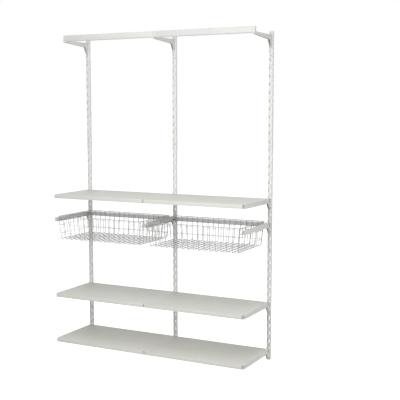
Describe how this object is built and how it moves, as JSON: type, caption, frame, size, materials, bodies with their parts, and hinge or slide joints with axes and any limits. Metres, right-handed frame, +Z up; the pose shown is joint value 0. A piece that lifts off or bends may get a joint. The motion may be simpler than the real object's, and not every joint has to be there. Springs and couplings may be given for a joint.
{
  "type": "wall mounted closet system",
  "caption": "Wall mounted closet system: slotted steel uprights carry white shelves, a clothes rail and pull-out wire baskets on hooked brackets.",
  "frame": {"origin": "on the wall plane, at the foot and in the middle of the middle upright", "axes": "+X to the right along the wall as seen from the room, +Y into the wall, +Z up along the uprights"},
  "size_m": [1.309, 0.4327, 1.9665],
  "materials": {
    "upright_steel": "white powder coat, satin",
    "bracket_steel": "white powder coat, satin",
    "rail_steel": "white powder coat, smooth satin",
    "basket_wire": "white powder coated round wire",
    "runner_steel": "light grey powder coat",
    "shelf_board": "white melamine foil on particle board, matt",
    "white_plastic": "moulded, satin",
    "screw_zinc": "zinc plated"
  },
  "bodies": {
    "system": {"upright_left": "upright_steel", "upright_middle": "upright_steel", "upright_right": "upright_steel", "wall_screw_left_1": "screw_zinc", "wall_screw_left_2": "screw_zinc", "wall_screw_left_3": "screw_zinc", "wall_screw_left_4": "screw_zinc", "wall_screw_middle_1": "screw_zinc", "wall_screw_middle_2": "screw_zinc", "wall_screw_middle_3": "screw_zinc", "wall_screw_middle_4": "screw_zinc", "wall_screw_right_1": "screw_zinc", "wall_screw_right_2": "screw_zinc", "wall_screw_right_3": "screw_zinc", "wall_screw_right_4": "screw_zinc", "rail_bracket_left": "bracket_steel", "basket_bracket_left": "bracket_steel", "shelf_bracket_upper_left": "bracket_steel", "shelf_bracket_lower_left": "bracket_steel", "shelf_bracket_bottom_left": "bracket_steel", "rail_bracket_middle": "bracket_steel", "basket_bracket_middle": "bracket_steel", "shelf_bracket_upper_middle": "bracket_steel", "shelf_bracket_lower_middle": "bracket_steel", "shelf_bracket_bottom_middle": "bracket_steel", "rail_bracket_right": "bracket_steel", "basket_bracket_right": "bracket_steel", "shelf_bracket_upper_right": "bracket_steel", "shelf_bracket_lower_right": "bracket_steel", "shelf_bracket_bottom_right": "bracket_steel", "shelf_upper_left": "shelf_board", "shelf_upper_right": "shelf_board", "shelf_lower_left": "shelf_board", "shelf_lower_right": "shelf_board", "shelf_bottom_left": "shelf_board", "shelf_bottom_right": "shelf_board", "clothes_rail_left": "rail_steel", "rail_end_cap_left": "white_plastic", "clothes_rail_right": "rail_steel", "rail_end_cap_right": "white_plastic", "rail_joiner": "white_plastic", "basket_crossbar_left": "runner_steel", "basket_runner_left_a": "runner_steel", "basket_runner_left_b": "runner_steel", "basket_crossbar_right": "runner_steel", "basket_runner_right_a": "runner_steel", "basket_runner_right_b": "runner_steel"},
    "left_basket": {"basket_left": "basket_wire"},
    "right_basket": {"basket_right": "basket_wire"}
  },
  "joints": [
    {"name": "left_basket_slide", "type": "slide", "parent": "system", "child": "left_basket", "axis": [0, -1, 0], "range_m": [0, 0.28]},
    {"name": "right_basket_slide", "type": "slide", "parent": "system", "child": "right_basket", "axis": [0, -1, 0], "range_m": [0, 0.28]}
  ]
}
